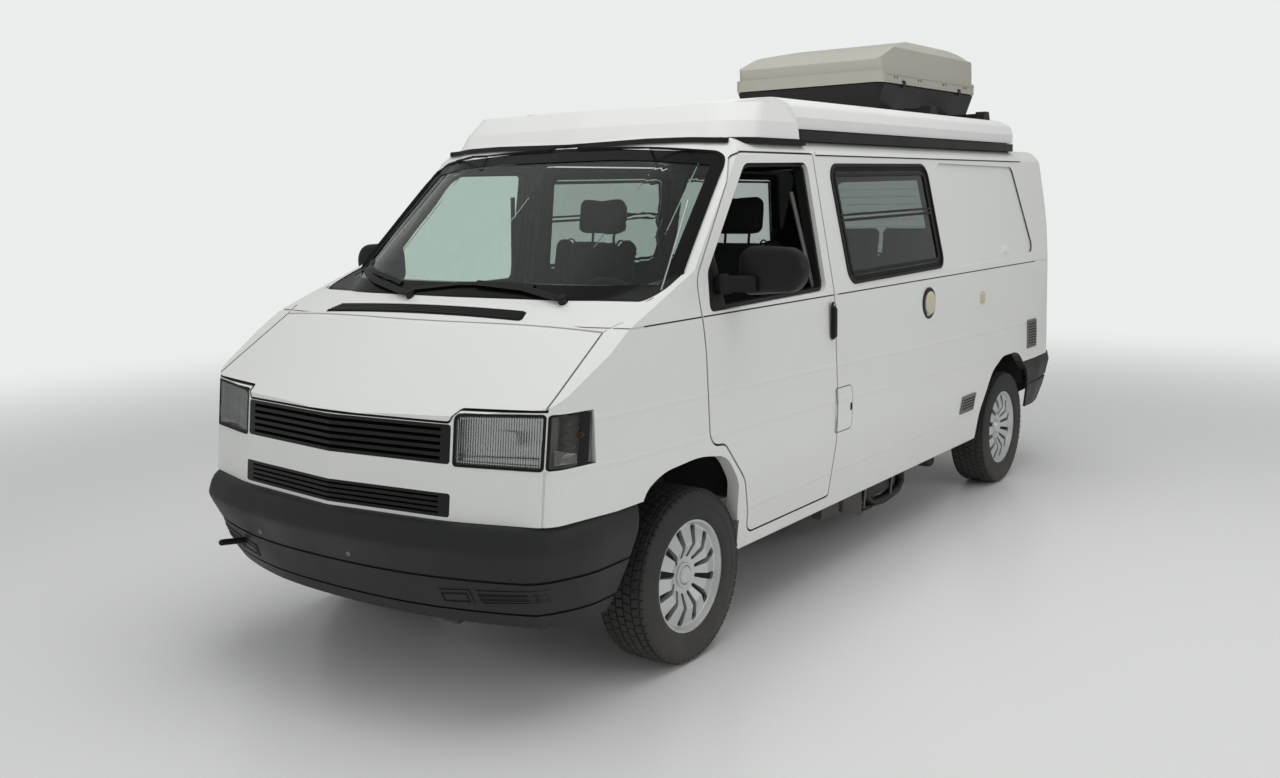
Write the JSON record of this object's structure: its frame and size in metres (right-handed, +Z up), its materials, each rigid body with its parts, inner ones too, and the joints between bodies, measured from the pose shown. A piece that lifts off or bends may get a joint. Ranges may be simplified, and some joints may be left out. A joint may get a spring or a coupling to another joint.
{
  "type": "camper van",
  "caption": "Long-wheelbase camper van with lifting roof, front roof tray, roof cargo box, opening doors, bonnet and tailgate, steered front wheels.",
  "frame": {"origin": "centre of the bounding box's bottom, on the ground under the middle of the van", "axes": "+X to the van's left, +Y to its rear, +Z up; the van faces -Y"},
  "size_m": [2.3726, 5.192, 2.562],
  "materials": {
    "paint": "glossy warm white paint",
    "underside": "matte underseal",
    "roof_plastic": "satin moulded shell",
    "black_plastic": "fine grain",
    "bumper_plastic": "coarse grain",
    "screen_glass": "light green tint",
    "tinted_glass": "dark tint",
    "seal_rubber": "matte",
    "lamp_glass": "ribbed clear lens",
    "smoked_lens": "smoked lens",
    "red_lens": "red lens",
    "chassis_steel": "black chassis paint",
    "cast_metal": "rough cast",
    "cab_plastic": "grained",
    "seat_fabric": "woven",
    "cabinet_wood": "laminate",
    "box_plastic": "grained moulded shell",
    "tyre": "matte",
    "wheel_silver": "silver paint"
  },
  "bodies": {
    "body": {"body_shell": "paint", "floor_pan": "underside", "roof_cap": "roof_plastic", "roof_rail": "black_plastic", "windscreen": "screen_glass", "side_glass": "tinted_glass", "window_frames": "seal_rubber", "front_bumper": "bumper_plastic", "rear_bumper": "bumper_plastic", "grilles": "black_plastic", "headlamps": "lamp_glass", "turn_lamps": "smoked_lens", "rear_lamps": "red_lens", "front_subframe": "chassis_steel", "engine_block": "cast_metal", "rear_axle": "chassis_steel", "underbody": "chassis_steel", "dashboard": "cab_plastic", "seat_driver": "seat_fabric", "seat_passenger": "seat_fabric", "rear_bench": "seat_fabric", "cabinets": "cabinet_wood", "sliding_door": "paint"},
    "bonnet": {"hood": "paint"},
    "tail_door": {"tailgate": "paint", "tailgate_glass": "tinted_glass"},
    "left_door": {"door_left": "paint", "door_left_trim": "black_plastic"},
    "right_door": {"door_right": "paint", "door_right_trim": "black_plastic", "door_right_glass": "screen_glass"},
    "lifting_roof": {"poptop_shell": "roof_plastic", "rack_bars": "black_plastic", "box_base": "black_plastic"},
    "roof_box_lid": {"box_lid": "box_plastic"},
    "left_knuckle": {"knuckle_left": "cast_metal"},
    "right_knuckle": {"knuckle_right": "cast_metal"},
    "wheel_front_left": {"tyre_front_left": "tyre", "rim_front_left": "wheel_silver"},
    "wheel_front_right": {"tyre_front_right": "tyre", "rim_front_right": "wheel_silver"},
    "wheel_rear_left": {"tyre_rear_left": "tyre", "rim_rear_left": "wheel_silver"},
    "wheel_rear_right": {"tyre_rear_right": "tyre", "rim_rear_right": "wheel_silver"}
  },
  "joints": [
    {"name": "steer_left", "type": "hinge", "parent": "body", "child": "left_knuckle", "pos_m": [0.72, -1.604, 0.326], "axis": [0, 0, 1], "range_deg": [-32, 32]},
    {"name": "steer_right", "type": "hinge", "parent": "body", "child": "right_knuckle", "pos_m": [-0.72, -1.604, 0.326], "axis": [0, 0, 1], "range_deg": [-32, 32]},
    {"name": "spin_front_left", "type": "hinge", "parent": "left_knuckle", "child": "wheel_front_left", "pos_m": [0.7945, -1.604, 0.326], "axis": [1, 0, 0], "continuous": true},
    {"name": "spin_front_right", "type": "hinge", "parent": "right_knuckle", "child": "wheel_front_right", "pos_m": [-0.7945, -1.604, 0.326], "axis": [1, 0, 0], "continuous": true},
    {"name": "spin_rear_left", "type": "hinge", "parent": "body", "child": "wheel_rear_left", "pos_m": [0.777, 1.716, 0.326], "axis": [1, 0, 0], "continuous": true},
    {"name": "spin_rear_right", "type": "hinge", "parent": "body", "child": "wheel_rear_right", "pos_m": [-0.777, 1.716, 0.326], "axis": [1, 0, 0], "continuous": true},
    {"name": "open_left_door", "type": "hinge", "parent": "body", "child": "left_door", "pos_m": [0.921, -1.52, 1], "axis": [0, 0, -1], "range_deg": [0, 65]},
    {"name": "open_right_door", "type": "hinge", "parent": "body", "child": "right_door", "pos_m": [-0.921, -1.52, 1], "axis": [0, 0, 1], "range_deg": [0, 65]},
    {"name": "open_bonnet", "type": "hinge", "parent": "body", "child": "bonnet", "pos_m": [0, -1.954, 1.295], "axis": [-1, 0, 0], "range_deg": [0, 50]},
    {"name": "open_tail_door", "type": "hinge", "parent": "body", "child": "tail_door", "pos_m": [0, 2.497, 1.866], "axis": [1, 0, 0], "range_deg": [0, 85]},
    {"name": "raise_roof", "type": "hinge", "parent": "body", "child": "lifting_roof", "pos_m": [0, 2.098, 1.975], "axis": [-1, 0, 0], "range_deg": [0, 27]},
    {"name": "open_roof_box", "type": "hinge", "parent": "lifting_roof", "child": "roof_box_lid", "pos_m": [-0.463, 1.596, 2.29], "axis": [0, -1, 0], "range_deg": [0, 60]}
  ],
  "couplings": [
    {"joint": "steer_right", "follows": "steer_left", "ratio": 1}
  ]
}
